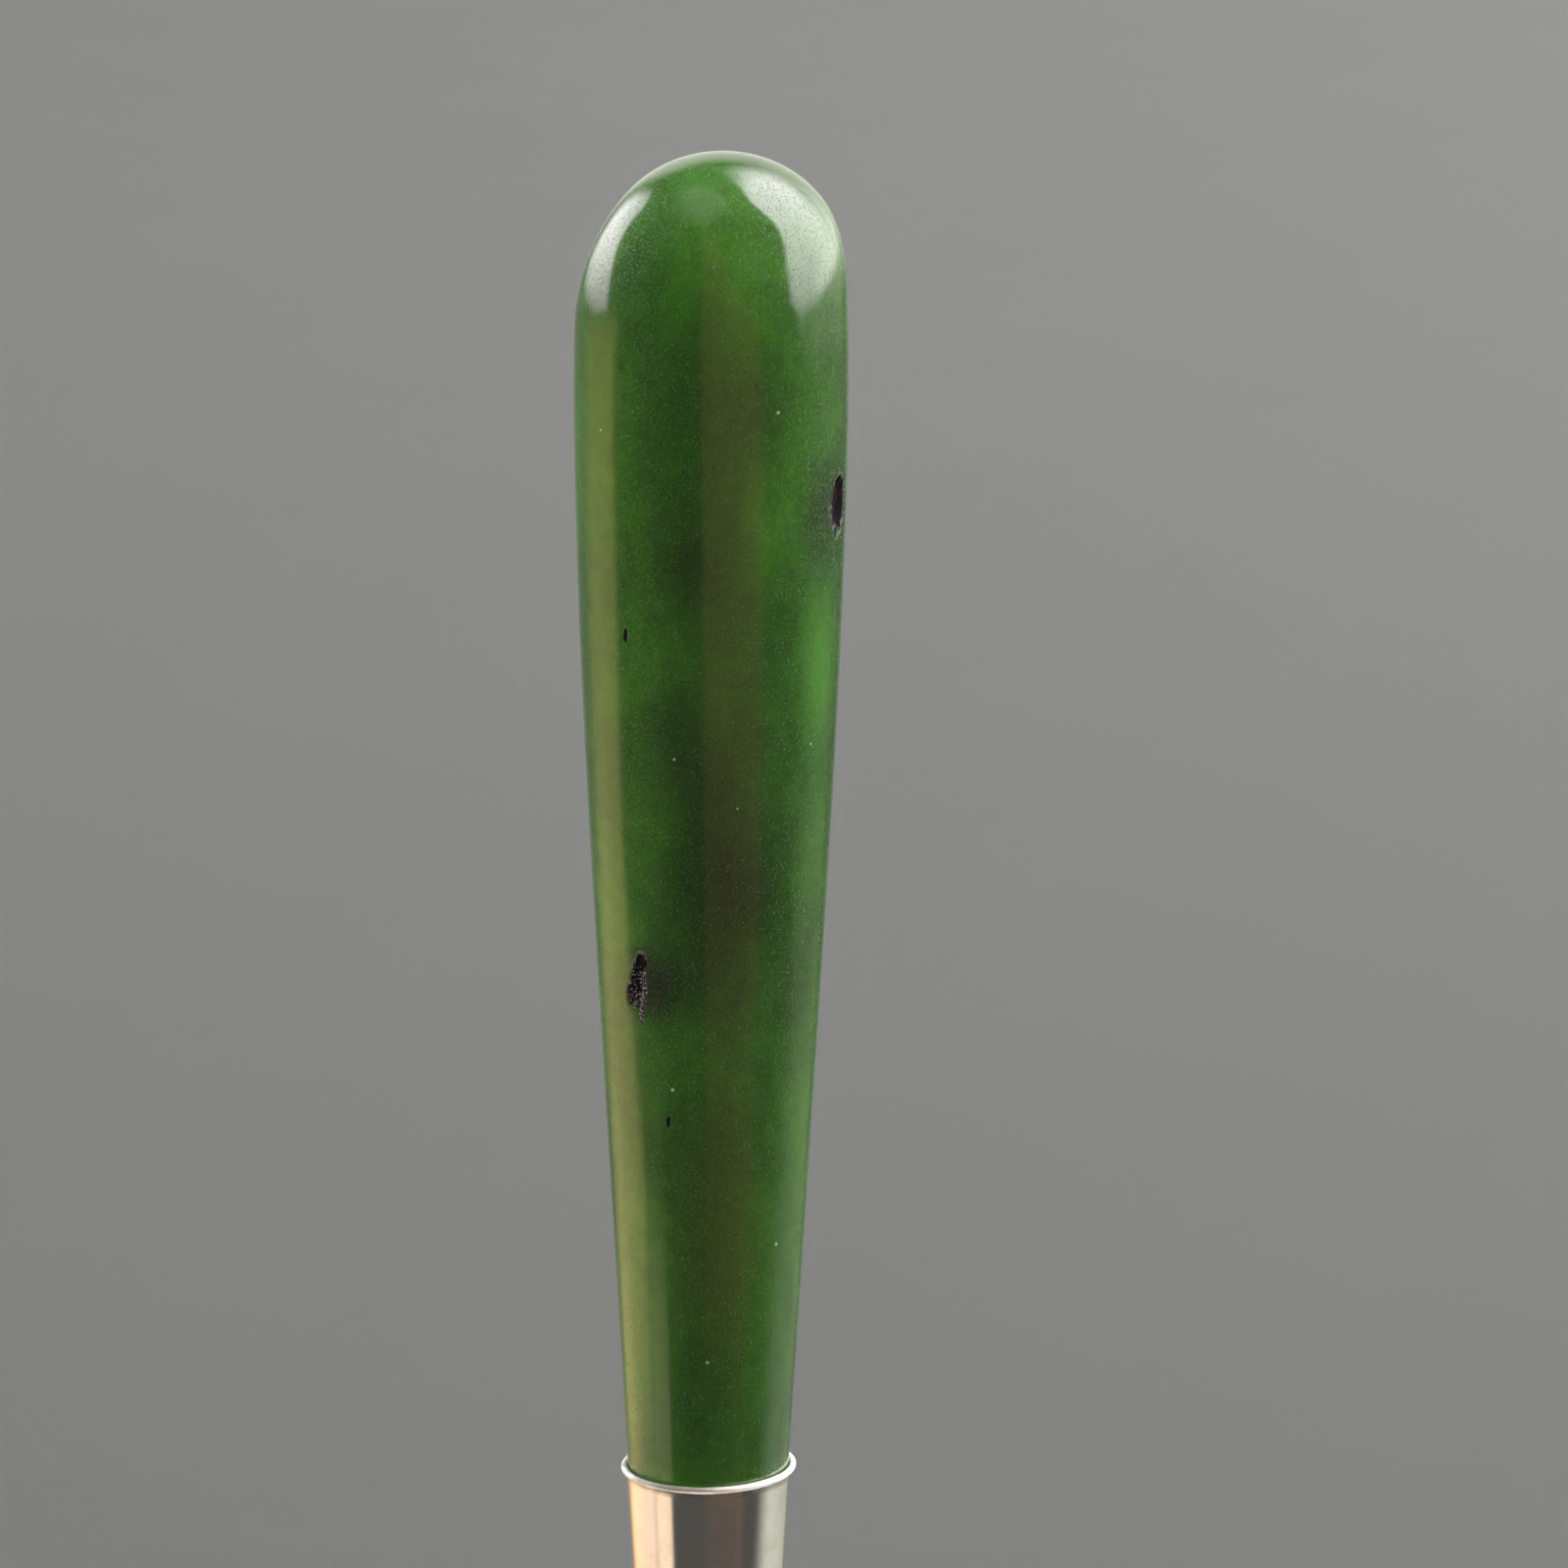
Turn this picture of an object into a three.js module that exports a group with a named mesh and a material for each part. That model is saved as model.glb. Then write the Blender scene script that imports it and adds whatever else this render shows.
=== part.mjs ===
// A hair pin: a polished nephrite head set in a tapered silver ferrule, on a plain tapered silver stem.
// Millimetres, +Z up. The pin stands upright with its head on top, and the origin is on its axis,
// at the middle of the length of stem that goes through the hair.
import * as THREE from "three";

// Round the pin: every piece is turned, and all have the same number of sides, so their facets line up.
const SIDES = 36;
const GLUE_GAP = 0.05; // between surfaces that cement or solder joins

// Heights are measured from the mouth of the ferrule, where the stone disappears into the metal.

// Nephrite head
const HEAD_MOUTH_RADIUS = 3.55;
const HEAD_WIDEST_RADIUS = 5.94;
const HEAD_WIDEST_HEIGHT = 48.9;
const HEAD_TOP_HEIGHT = 59.2;
const FLANK_POWER = 5.25; // how late the taper rounds off into the widest place
const DOME_POWER = 3.45; // 2 would be an ellipse, and more has a flatter top and fuller shoulders
const LEAN = 0.48; // the hand-ground dome leans this far towards +X
const LEAN_START = 0.28; // the share of the dome's height where the lean starts
const LEAN_END = 0.87;
const SEAT_LENGTH = 7.0; // of the rebated end inside the ferrule
const BORE_RADIUS = 1.5;
const BORE_TOP_HEIGHT = 14.0;

// Silver ferrule
const SLEEVE_MOUTH_RADIUS = 3.68;
const SLEEVE_FOOT_RADIUS = 2.45;
const SLEEVE_LENGTH = 19.0;
const SLEEVE_WALL = 0.3;
const MOUTH_TILT = 0.02; // the hand-filed mouth rises this much per millimetre of +X
const TILT_REACH = 6.0; // heights further than this from the mouth don't tilt
const RIM_WIRE_RADIUS = 0.14;
const RIM_RING_RADIUS = 3.73;
const FOOT_WIRE_RADIUS = 0.22;
const END_DISC_THICKNESS = 0.5;
const END_DISC_LIP = 0.25; // the disc stands this far outside the sleeve's foot, under the foot wire

// Turned knop between the ferrule and the stem
const KNOP_HEIGHT = 3.4;
const KNOP_BEAD_RADIUS = 2.35;
const KNOP_FILLET_RADIUS = 1.85;
const KNOP_FILLET_HEIGHT = 0.45;
const KNOP_COVE_RADIUS = 1.5;

// Stem and its tang, forged in one
const STEM_TOP_RADIUS = 1.6;
const STEM_END_RADIUS = 1.0;
const STEM_LENGTH = 95.0;
const STEM_NOSE_LENGTH = 5.0;
const TANG_RADIUS = 1.0;
const TANG_TOP_HEIGHT = 12.5;
const KEY_GROOVES = 4; // rings cut round the tang for the cement to grip
const KEY_GROOVE_DEPTH = 0.15;
const KEY_GROOVE_WIDTH = 0.8;

const SLEEVE_TAPER = (SLEEVE_MOUTH_RADIUS - SLEEVE_FOOT_RADIUS) / SLEEVE_LENGTH;
const DISC_TOP = -SLEEVE_LENGTH - GLUE_GAP;
const DISC_UNDERSIDE = DISC_TOP - END_DISC_THICKNESS;
const KNOP_TOP = DISC_UNDERSIDE - GLUE_GAP;
const KNOP_UNDERSIDE = KNOP_TOP - KNOP_HEIGHT;
const STEM_TOP = KNOP_UNDERSIDE - GLUE_GAP;
const STEM_TIP = STEM_TOP - STEM_LENGTH;
const MOUTH_ABOVE_ORIGIN = STEM_LENGTH / 2 - STEM_TOP;

const nephrite = new THREE.MeshStandardMaterial({ color: 0x2c5a1a, roughness: 0.08, metalness: 0 });
const silver = new THREE.MeshStandardMaterial({ color: 0xe6e3da, roughness: 0.15, metalness: 1 });
const cement = new THREE.MeshStandardMaterial({ color: 0x5a4632, roughness: 0.8, metalness: 0 });

/** The sleeve's inner radius at a height, which is negative below the mouth. */
function sleeveBore(height) {
  return SLEEVE_MOUTH_RADIUS - SLEEVE_WALL + SLEEVE_TAPER * height;
}

/** The head's radius at a height: a taper that rounds off into its widest place, then a dome. */
function headRadius(height) {
  if (height <= HEAD_WIDEST_HEIGHT) {
    const share = height / HEAD_WIDEST_HEIGHT;
    const rise = (FLANK_POWER * share - share ** FLANK_POWER) / (FLANK_POWER - 1);
    return HEAD_MOUTH_RADIUS + (HEAD_WIDEST_RADIUS - HEAD_MOUTH_RADIUS) * rise;
  }
  return HEAD_WIDEST_RADIUS * Math.sqrt(Math.max(0, 1 - domeShare(height) ** DOME_POWER));
}

/** How far up the dome a height is: 0 at the widest place and 1 at the top. */
function domeShare(height) {
  return Math.max(0, (height - HEAD_WIDEST_HEIGHT) / (HEAD_TOP_HEIGHT - HEAD_WIDEST_HEIGHT));
}

/** How far the head's middle lies towards +X at a height above the mouth. */
function headLean(height) {
  return LEAN * THREE.MathUtils.smoothstep(domeShare(height), LEAN_START, LEAN_END);
}

/**
 * A mesh turned round +Z from [radius, height] points, which end on the axis or close on themselves.
 * Its points near the ferrule's mouth are then moved along Z, so that the mouth tilts.
 */
function turned(name, profile, material) {
  const points = profile.map(([radius, height]) => new THREE.Vector2(radius, height));
  const geometry = new THREE.LatheGeometry(points, SIDES).rotateX(Math.PI / 2);
  const places = geometry.getAttribute("position");
  for (let k = 0; k < places.count; k++) {
    const height = places.getZ(k);
    const nearness = Math.max(0, 1 - Math.abs(height) / TILT_REACH);
    places.setZ(k, height + MOUTH_TILT * places.getX(k) * nearness);
  }
  const mesh = new THREE.Mesh(geometry, material);
  mesh.name = name;
  mesh.position.z = MOUTH_ABOVE_ORIGIN;
  return mesh;
}

/** A ring of round wire, its middle line at that radius and height. */
function wireRing(name, ringRadius, wireRadius, height) {
  const corners = 10;
  const profile = Array.from({ length: corners + 1 }, (_, k) => {
    const angle = ((k % corners) / corners) * 2 * Math.PI;
    return [ringRadius + wireRadius * Math.cos(angle), height + wireRadius * Math.sin(angle)];
  });
  return turned(name, profile, silver);
}

/** The stone: blind bore, seat in the ferrule, shoulder on the mouth, tapered flank, leaning dome. */
function makeHead() {
  const seatRadius = (height) => sleeveBore(height) - GLUE_GAP;
  const flankRings = 14;
  const domeRings = 12;
  const profile = [
    [0, BORE_TOP_HEIGHT],
    [BORE_RADIUS, BORE_TOP_HEIGHT],
    [BORE_RADIUS, -SEAT_LENGTH],
    [seatRadius(-SEAT_LENGTH), -SEAT_LENGTH],
    [seatRadius(GLUE_GAP), GLUE_GAP],
  ];
  for (let k = 0; k < flankRings; k++) {
    const height = THREE.MathUtils.lerp(GLUE_GAP, HEAD_WIDEST_HEIGHT, k / flankRings);
    profile.push([headRadius(height), height]);
  }
  for (let k = 0; k < domeRings; k++) {
    const share = Math.sin(((k / domeRings) * Math.PI) / 2);
    const height = THREE.MathUtils.lerp(HEAD_WIDEST_HEIGHT, HEAD_TOP_HEIGHT, share);
    profile.push([headRadius(height), height]);
  }
  profile.push([0, HEAD_TOP_HEIGHT]);

  const head = turned("nephrite_head", profile, nephrite);
  const places = head.geometry.getAttribute("position");
  for (let k = 0; k < places.count; k++) {
    places.setX(k, places.getX(k) + headLean(places.getZ(k)));
  }
  return head;
}

/** Cement that fills the bore round the tang and the ferrule below the stone. */
function makeCement() {
  const inner = TANG_RADIUS + GLUE_GAP;
  const low = -SLEEVE_LENGTH;
  const step = -SEAT_LENGTH - GLUE_GAP;
  return turned(
    "setting_cement",
    [
      [0, TANG_TOP_HEIGHT + GLUE_GAP],
      [inner, TANG_TOP_HEIGHT + GLUE_GAP],
      [inner, low],
      [sleeveBore(low) - GLUE_GAP, low],
      [sleeveBore(step) - GLUE_GAP, step],
      [BORE_RADIUS - GLUE_GAP, step],
      [BORE_RADIUS - GLUE_GAP, BORE_TOP_HEIGHT - GLUE_GAP],
      [0, BORE_TOP_HEIGHT - GLUE_GAP],
    ],
    cement,
  );
}

/** The tapered sleeve of sheet silver, open at both ends. */
function makeSleeve() {
  return turned(
    "ferrule_sleeve",
    [
      [sleeveBore(0), 0],
      [sleeveBore(-SLEEVE_LENGTH), -SLEEVE_LENGTH],
      [SLEEVE_FOOT_RADIUS, -SLEEVE_LENGTH],
      [SLEEVE_MOUTH_RADIUS, 0],
      [sleeveBore(0), 0],
    ],
    silver,
  );
}

/** The disc that closes the sleeve's foot, with a hole for the tang. */
function makeEndDisc() {
  const hole = TANG_RADIUS + GLUE_GAP;
  const rim = SLEEVE_FOOT_RADIUS + END_DISC_LIP;
  return turned(
    "ferrule_end_disc",
    [
      [hole, DISC_TOP],
      [hole, DISC_UNDERSIDE],
      [rim, DISC_UNDERSIDE],
      [rim, DISC_TOP],
      [hole, DISC_TOP],
    ],
    silver,
  );
}

/** The knop: a round bead between two thin fillets and two hollows, bored for the tang. */
function makeKnop() {
  const hole = TANG_RADIUS + GLUE_GAP;
  const beadSteps = 8;
  const beadHalf = KNOP_HEIGHT / 2 - 1.5 * KNOP_FILLET_HEIGHT;
  const middle = (KNOP_TOP + KNOP_UNDERSIDE) / 2;
  const bead = Array.from({ length: beadSteps + 1 }, (_, k) => {
    const angle = (k / beadSteps - 0.5) * Math.PI;
    const bulge = (KNOP_BEAD_RADIUS - KNOP_COVE_RADIUS) * Math.cos(angle);
    return [KNOP_COVE_RADIUS + bulge, middle + beadHalf * Math.sin(angle)];
  });
  return turned(
    "collar_knop",
    [
      [hole, KNOP_TOP],
      [hole, KNOP_UNDERSIDE],
      [KNOP_FILLET_RADIUS, KNOP_UNDERSIDE],
      [KNOP_FILLET_RADIUS, KNOP_UNDERSIDE + KNOP_FILLET_HEIGHT],
      [KNOP_COVE_RADIUS, KNOP_UNDERSIDE + KNOP_FILLET_HEIGHT],
      ...bead,
      [KNOP_COVE_RADIUS, KNOP_TOP - KNOP_FILLET_HEIGHT],
      [KNOP_FILLET_RADIUS, KNOP_TOP - KNOP_FILLET_HEIGHT],
      [KNOP_FILLET_RADIUS, KNOP_TOP],
      [hole, KNOP_TOP],
    ],
    silver,
  );
}

/** The stem: a long taper with a rounded nose, a shoulder under the knop and a grooved tang. */
function makeStem() {
  const noseSteps = 8;
  const noseTop = STEM_TIP + STEM_NOSE_LENGTH;
  const profile = Array.from({ length: noseSteps }, (_, k) => {
    const angle = (k / noseSteps) * (Math.PI / 2);
    return [STEM_END_RADIUS * Math.sin(angle), noseTop - STEM_NOSE_LENGTH * Math.cos(angle)];
  });
  profile.push([STEM_END_RADIUS, noseTop], [STEM_TOP_RADIUS, STEM_TOP], [TANG_RADIUS, STEM_TOP]);

  const grooved = { low: -SLEEVE_LENGTH + 2, high: TANG_TOP_HEIGHT - 2 };
  for (let k = 0; k < KEY_GROOVES; k++) {
    const middle = THREE.MathUtils.lerp(grooved.low, grooved.high, k / (KEY_GROOVES - 1));
    profile.push(
      [TANG_RADIUS, middle - KEY_GROOVE_WIDTH / 2],
      [TANG_RADIUS - KEY_GROOVE_DEPTH, middle],
      [TANG_RADIUS, middle + KEY_GROOVE_WIDTH / 2],
    );
  }
  profile.push([TANG_RADIUS, TANG_TOP_HEIGHT], [0, TANG_TOP_HEIGHT]);
  return turned("stem", profile, silver);
}

const pin = new THREE.Group();
pin.name = "hair_pin";
pin.add(
  makeHead(),
  makeCement(),
  wireRing("rim_wire", RIM_RING_RADIUS, RIM_WIRE_RADIUS, RIM_WIRE_RADIUS + GLUE_GAP),
  makeSleeve(),
  wireRing(
    "foot_wire",
    SLEEVE_FOOT_RADIUS + 2 * GLUE_GAP + FOOT_WIRE_RADIUS,
    FOOT_WIRE_RADIUS,
    DISC_TOP + GLUE_GAP + FOOT_WIRE_RADIUS,
  ),
  makeEndDisc(),
  makeKnop(),
  makeStem(),
);

export default pin;
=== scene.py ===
"""A hair pin with a nephrite head: its fine meshes, finishes and studio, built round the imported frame.

The pin is a turned stone in a silver ferrule, over a knop and a tapered stem. A maker's drawing gives its
sizes in millimetres, with heights measured from the mouth of the ferrule, where the stone goes into the
metal. The classes below keep them that way, and Datum places them in the frame, which is in metres.
"""

from __future__ import annotations

import logging
import math
from dataclasses import dataclass, field
from enum import Enum

import bmesh
import bpy
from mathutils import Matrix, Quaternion, Vector

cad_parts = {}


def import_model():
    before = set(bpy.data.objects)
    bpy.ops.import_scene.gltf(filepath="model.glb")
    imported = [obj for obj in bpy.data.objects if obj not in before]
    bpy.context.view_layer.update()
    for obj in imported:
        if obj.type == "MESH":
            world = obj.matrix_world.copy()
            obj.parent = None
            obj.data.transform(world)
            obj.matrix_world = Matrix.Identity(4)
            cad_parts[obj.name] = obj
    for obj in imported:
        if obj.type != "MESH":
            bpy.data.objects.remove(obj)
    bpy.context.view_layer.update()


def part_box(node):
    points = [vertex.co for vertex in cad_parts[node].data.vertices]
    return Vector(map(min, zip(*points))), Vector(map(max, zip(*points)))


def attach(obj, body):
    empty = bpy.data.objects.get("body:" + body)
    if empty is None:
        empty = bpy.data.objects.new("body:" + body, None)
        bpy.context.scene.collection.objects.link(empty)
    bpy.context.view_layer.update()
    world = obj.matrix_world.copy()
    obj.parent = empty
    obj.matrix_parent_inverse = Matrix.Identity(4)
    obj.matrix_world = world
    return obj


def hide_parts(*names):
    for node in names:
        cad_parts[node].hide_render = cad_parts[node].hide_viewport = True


MM = 0.001
WELD = 1e-6  # metres; points closer than this are one point
ROOT = "root"  # the only body: nothing on the pin moves

PAINTED_GLOW_JADE = "478a20"  # painted glow: the right side and the dome's top, which face the lamps, made lighter as if light shone through the stone
OLIVE_JADE = "35480c"  # where iron browns the green
IRON_RED = "52281e"  # iron that has leached out of a crystal nest

SOCKETS = {  # the inputs of the geometry trees that aren't numbers with a fraction
    "Mesh": "Geometry", "Material": "Material", "Centre": "Vector", "Sides": "Int", "Seed": "Int",
}

Point = tuple[float, float]
Object = bpy.types.Object
Material = bpy.types.Material
Tree = bpy.types.NodeTree
Node = bpy.types.Node
Socket = bpy.types.NodeSocket
log = logging.getLogger("hair_pin")


def linear(hex_code: str) -> tuple[float, float, float, float]:
    """Turns an sRGB colour into the linear one that shaders use.

    Args:
        hex_code: six hexadecimal digits, such as "2c5a1a".

    Returns:
        Linear red, green, blue and an alpha of 1.
    """
    shares = [int(hex_code[k : k + 2], 16) / 255 for k in (0, 2, 4)]
    red, green, blue = (s / 12.92 if s <= 0.04045 else ((s + 0.055) / 1.055) ** 2.4 for s in shares)
    return red, green, blue, 1.0


def per_mm(spacing_mm: float) -> float:
    """Returns the scale of a texture whose features are that many millimetres apart."""
    return 1.0 / (spacing_mm * MM)


def add(tree: Tree, kind: str, inputs: dict | None = None, **settings) -> Node:
    """Adds a node to a tree, with its settings, and sets or links its inputs.

    Args:
        tree: the tree of a material, the world or a geometry modifier.
        kind: Blender's name for the node type, without "ShaderNode" where it starts with that.
        inputs: a value, an output socket or a node whose first output is meant, by socket name or number.
        **settings: the node's own properties.

    Returns:
        The new node.
    """
    made = tree.nodes.new(kind if kind.startswith(("Geometry", "Function")) else "ShaderNode" + kind)
    for name, value in settings.items():
        setattr(made, name, value)
    for key, value in (inputs or {}).items():
        if isinstance(value, Node):
            value = value.outputs[0]
        if isinstance(value, Socket):
            tree.links.new(value, made.inputs[key])
        else:
            made.inputs[key].default_value = value
    return made


def new_material(name: str) -> tuple[Material, Tree]:
    """Makes an empty node material.

    Args:
        name: the finish's name.

    Returns:
        The material and its node tree.
    """
    material = bpy.data.materials.new(name)
    material.use_nodes = True
    material.node_tree.nodes.clear()
    return material, material.node_tree


def new_object(name: str, data: bpy.types.ID) -> Object:
    """Makes an object of a mesh, a camera or a lamp and puts it into the scene.

    Args:
        name: its name.
        data: what it is made of.

    Returns:
        The object.
    """
    made = bpy.data.objects.new(name, data)
    bpy.context.scene.collection.objects.link(made)
    return made


# ---------------------------------------------------------------------------------------------- finishes


class Polish(Enum):
    """Which way a silversmith's last strokes run."""

    ROUND = "round the axis, as on work turned against a buff"
    ALONG = "along the axis, as on a drawn and burnished stem"


@dataclass(frozen=True)
class Nephrite:
    """Dark green nephrite, ground and polished to a wet gloss.

    Nephrite is felted actinolite. It is slightly translucent, so light creeps into it and softens its
    shading, with dark and light clouds several millimetres across, pale and dark specks, and a gloss that
    is sharp because the felt takes a hard polish.
    """

    deep: str = "244b0b"
    body: str = "2e5a0e"
    light: str = "376613"
    speck: str = "9dbb8c"
    speck_share: float = 0.7
    crystal_bed: str = "0c0a0d"
    iron_stain: str = "24141a"
    cloud_mm: float = 5.5
    mottle_mm: float = 0.9
    speck_mm: float = 1.5
    grain_mm: float = 0.06
    wear_mm: float = 2.4
    ground_mm: float = 0.06  # how deep the broken ground between the crystals is
    creep_mm: float = 1.5  # how far light creeps through the felt, and green light furthest
    creep_by_colour: tuple[float, float, float] = (0.6, 1.0, 0.35)
    translucency: float = 0.4
    ior: float = 1.62
    roughness: float = 0.08
    pit_roughness: float = 0.85
    sheen: float = 0.5
    pit_sheen: float = 0.08  # broken ground swallows the highlights

    def make(self, shadows: list["Cloud"]) -> Material:
        """Builds the material.

        Args:
            shadows: the darker and lighter places that lie deep in this stone, and the painted glow on its
                right side and the top of its dome.

        Returns:
            The material.
        """
        material, tree = new_material("polished_nephrite")
        place = add(tree, "TexCoord").outputs["Object"]

        drawn = add(tree, "Mapping", {"Vector": place, "Scale": (1, 1, 0.55)})
        clouds = add(tree, "TexNoise", {
            "Vector": drawn, "Scale": per_mm(self.cloud_mm), "Detail": 2.5, "Roughness": 0.5,
            "Distortion": 0.3,
        })
        cloud_ramp = add(tree, "ValToRGB", {"Fac": clouds})
        stops = cloud_ramp.color_ramp.elements
        stops[0].position, stops[0].color = 0.36, linear(self.deep)
        stops[1].position, stops[1].color = 0.68, linear(self.light)
        stops.new(0.52).color = linear(self.body)
        colour = cloud_ramp.outputs["Color"]

        mottle = add(tree, "TexNoise", {
            "Vector": place, "Scale": per_mm(self.mottle_mm), "Detail": 4.0, "Roughness": 0.6,
        })
        mottle_share = add(tree, "MapRange", {
            "Value": mottle, "From Min": 0.3, "From Max": 0.7, "To Min": 0.82, "To Max": 1.16,
        })
        colour = add(tree, "VectorMath", {0: colour, "Scale": mottle_share}, operation="SCALE")

        for cloud in shadows:
            share = cloud.share(tree, place)
            tone = linear(cloud.tone)
            colour = add(tree, "Mix", {"Factor": share, 6: colour, 7: tone}, data_type="RGBA").outputs[2]

        cells = add(tree, "TexVoronoi", {"Vector": place, "Scale": per_mm(self.speck_mm)})
        size_by_cell = add(tree, "SeparateColor", {"Color": cells.outputs["Color"]})
        speck_radius = add(tree, "MapRange", {
            "Value": size_by_cell.outputs["Red"], "From Min": 0.55, "From Max": 1.0, "To Min": 0.0,
            "To Max": 0.06,
        })
        speck = add(tree, "Math", {0: cells.outputs["Distance"], 1: speck_radius}, operation="LESS_THAN")
        speck_share = add(tree, "Math", {0: speck, 1: self.speck_share}, operation="MULTIPLY")
        colour = add(tree, "Mix", {
            "Factor": speck_share, 6: colour, 7: linear(self.speck),
        }, data_type="RGBA").outputs[2]

        grain = add(tree, "TexNoise", {
            "Vector": place, "Scale": per_mm(self.grain_mm), "Detail": 3.0, "Roughness": 0.7,
        })
        pit_depth = add(tree, "Attribute", attribute_name="pit").outputs["Fac"]
        ragged = add(tree, "Math", {
            0: add(tree, "Math", {0: grain, 1: 0.5}, operation="SUBTRACT"), 1: 0.5, 2: pit_depth,
        }, operation="MULTIPLY_ADD")
        in_pit = add(tree, "MapRange", {
            "Value": ragged, "From Min": 0.03, "From Max": 0.2,
        }, interpolation_type="SMOOTHSTEP")
        stain = add(tree, "MapRange", {
            "Value": mottle, "From Min": 0.48, "From Max": 0.62,
        }, interpolation_type="SMOOTHSTEP")
        bed = add(tree, "Mix", {
            "Factor": stain, 6: linear(self.crystal_bed), 7: linear(self.iron_stain),
        }, data_type="RGBA").outputs[2]
        colour = add(tree, "Mix", {"Factor": in_pit, 6: colour, 7: bed}, data_type="RGBA").outputs[2]

        wear = add(tree, "TexNoise", {
            "Vector": place, "Scale": per_mm(self.wear_mm), "Detail": 2.0, "Roughness": 0.5,
        })
        gloss = add(tree, "MapRange", {
            "Value": wear, "From Min": 0.3, "From Max": 0.75, "To Min": self.roughness * 0.8,
            "To Max": self.roughness * 1.5,
        })
        roughness = add(tree, "Mix", {"Factor": in_pit, 2: gloss, 3: self.pit_roughness}, data_type="FLOAT")
        sheen = add(tree, "MapRange", {"Value": in_pit, "To Min": self.sheen, "To Max": self.pit_sheen})
        rough_ground = add(tree, "Math", {0: grain, 1: in_pit}, operation="MULTIPLY")
        bump = add(tree, "Bump", {"Height": rough_ground, "Distance": self.ground_mm * MM})
        shader = add(tree, "BsdfPrincipled", {
            "Base Color": colour, "Roughness": roughness, "IOR": self.ior, "Specular IOR Level": sheen,
            "Subsurface Weight": self.translucency, "Subsurface Radius": self.creep_by_colour,
            "Subsurface Scale": self.creep_mm * MM, "Normal": bump,
        })
        add(tree, "OutputMaterial", {"Surface": shader})
        return material


@dataclass(frozen=True)
class Mineral:
    """Chromite and magnetite crystals, broken open by the grinding.

    Fresh faces are nearly black; pale patches on some are painted sparkle, where their faces would catch the
    light, which gives a pit its fine dull speckle.
    """

    dark: str = "1c181c"
    # painted sparkle: the pale grey of crystal faces that catch the light
    pale: str = "b4afab"
    change_mm: float = 0.12

    def make(self) -> Material:
        """Builds the material: each few crystals dark, or pale with painted sparkle, as the mottling falls.

        Returns:
            The material.
        """
        material, tree = new_material("mineral_crystals")
        place = add(tree, "TexCoord").outputs["Object"]
        patches = add(tree, "TexNoise", {
            "Vector": place, "Scale": per_mm(self.change_mm), "Detail": 3.0, "Roughness": 0.7,
        })
        ramp = add(tree, "ValToRGB", {"Fac": patches})
        ramp.color_ramp.elements[0].position = 0.44
        ramp.color_ramp.elements[0].color = linear(self.dark)
        ramp.color_ramp.elements[1].position = 0.54
        ramp.color_ramp.elements[1].color = linear(self.pale)
        shader = add(tree, "BsdfPrincipled", {"Base Color": ramp, "Roughness": 0.5})
        add(tree, "OutputMaterial", {"Surface": shader})
        return material


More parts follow.
